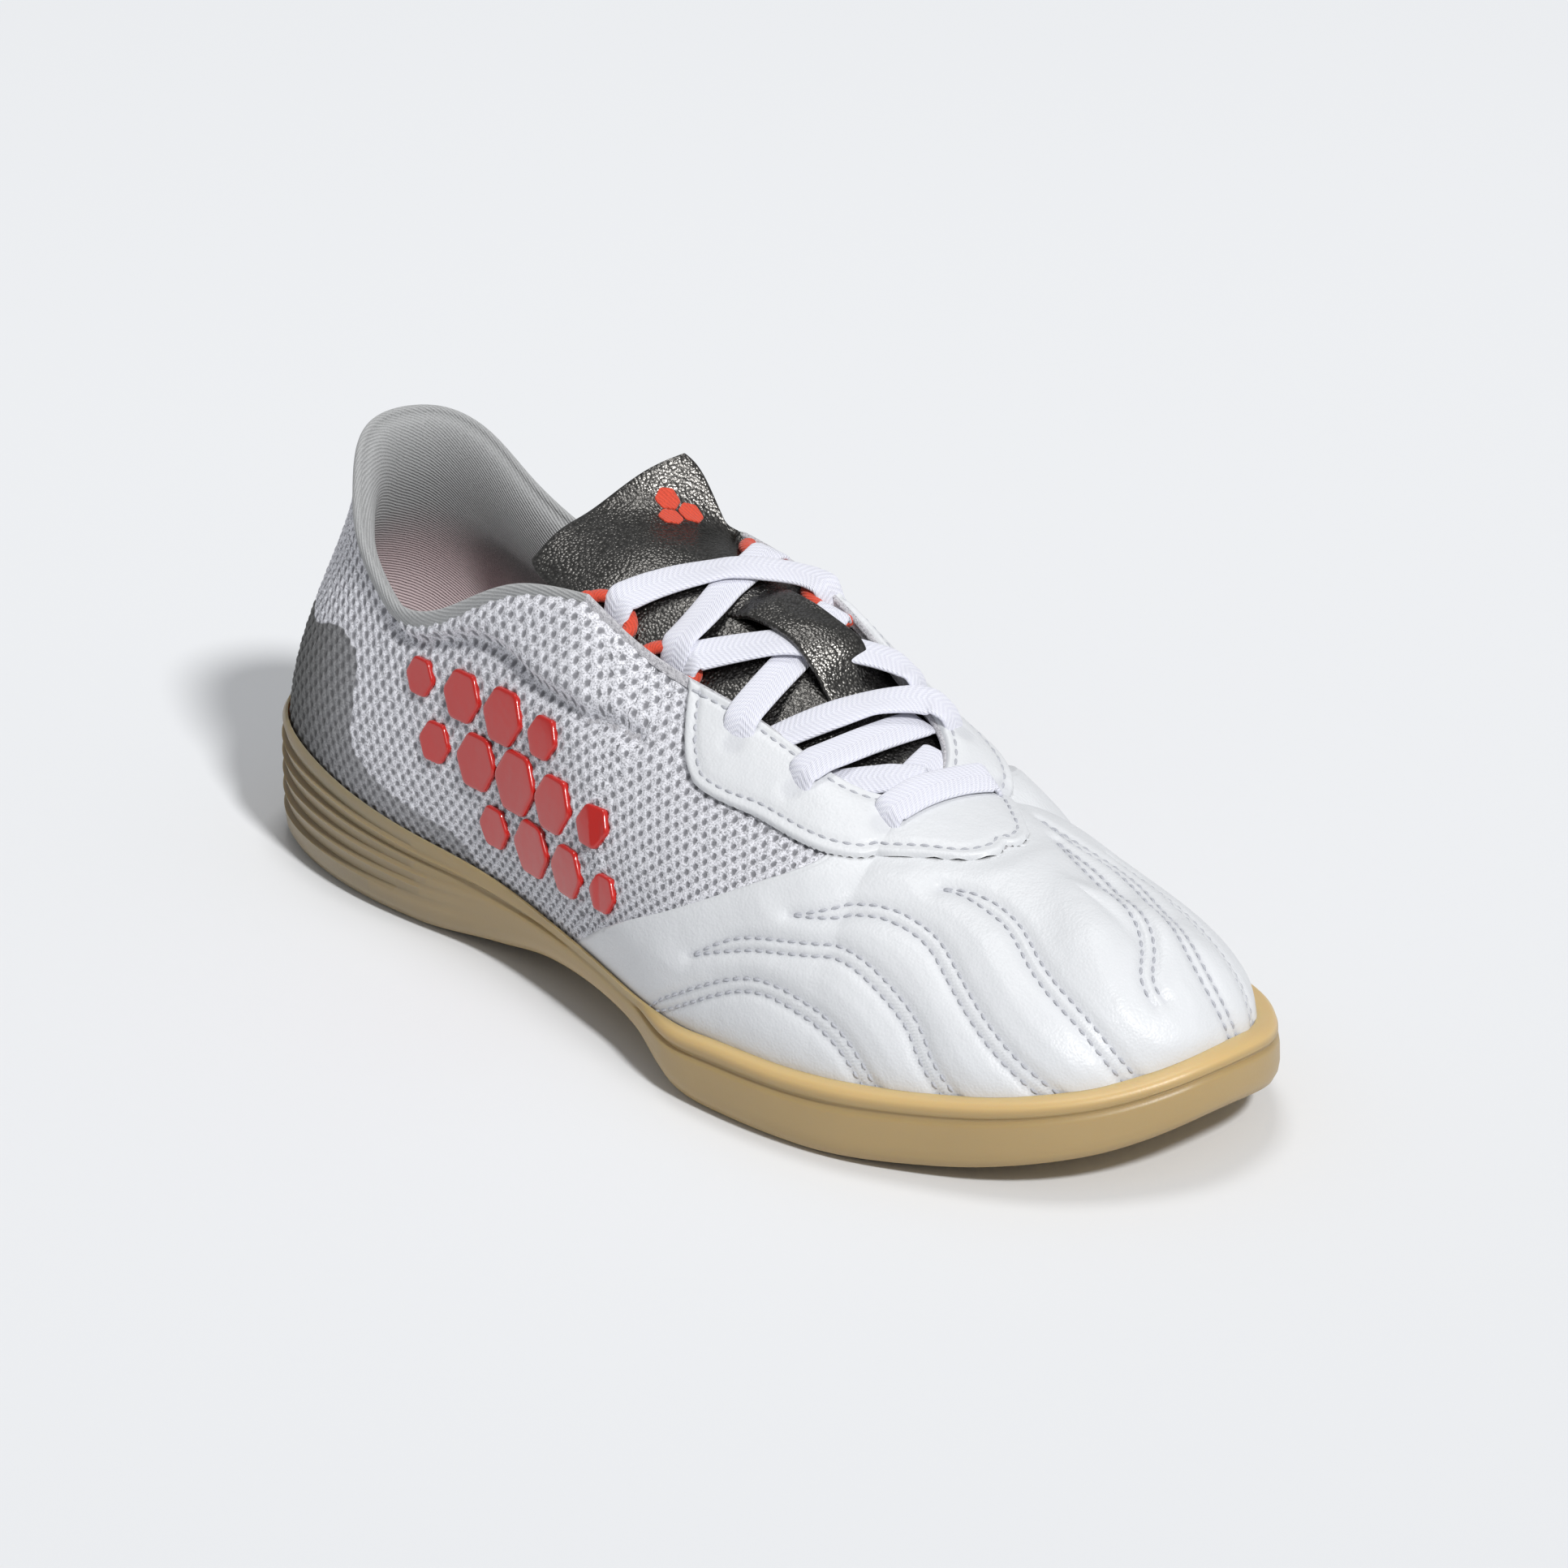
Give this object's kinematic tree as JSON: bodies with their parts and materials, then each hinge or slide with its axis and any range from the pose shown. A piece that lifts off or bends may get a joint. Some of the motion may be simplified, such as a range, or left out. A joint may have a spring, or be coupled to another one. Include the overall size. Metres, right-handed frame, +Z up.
{
  "type": "indoor soccer shoe",
  "caption": "Low-cut indoor soccer shoe for the right foot, with a gum cup sole, hollow mesh and leather upper, laced throat and long tongue.",
  "frame": {"origin": "on the ground under the centre of the shoe's bounding box", "axes": "+X towards the toe, +Y towards the medial side, +Z up"},
  "size_m": [0.243, 0.0924, 0.0841],
  "materials": {
    "outsole": "translucent gum rubber",
    "insole": "brushed knit over foam",
    "upper": "open three-dimensional mesh, leather vamp",
    "eyestay": "fine grain, satin",
    "tongue": "pebbled grain with a metallic sheen",
    "lace": "flat woven",
    "lace_loop": "round woven cord"
  },
  "bodies": {
    "root": {"outsole": "outsole", "insole": "insole", "upper": "upper", "eyestay": "eyestay", "tongue": "tongue", "lace_keeper": "tongue", "lace_bar": "lace", "lace_cross_1": "lace", "lace_cross_2": "lace", "lace_cross_3": "lace", "lace_cross_4": "lace", "lace_loop_lateral_1": "lace_loop", "lace_loop_medial_1": "lace_loop", "lace_loop_lateral_2": "lace_loop", "lace_loop_medial_2": "lace_loop"}
  },
  "joints": []
}
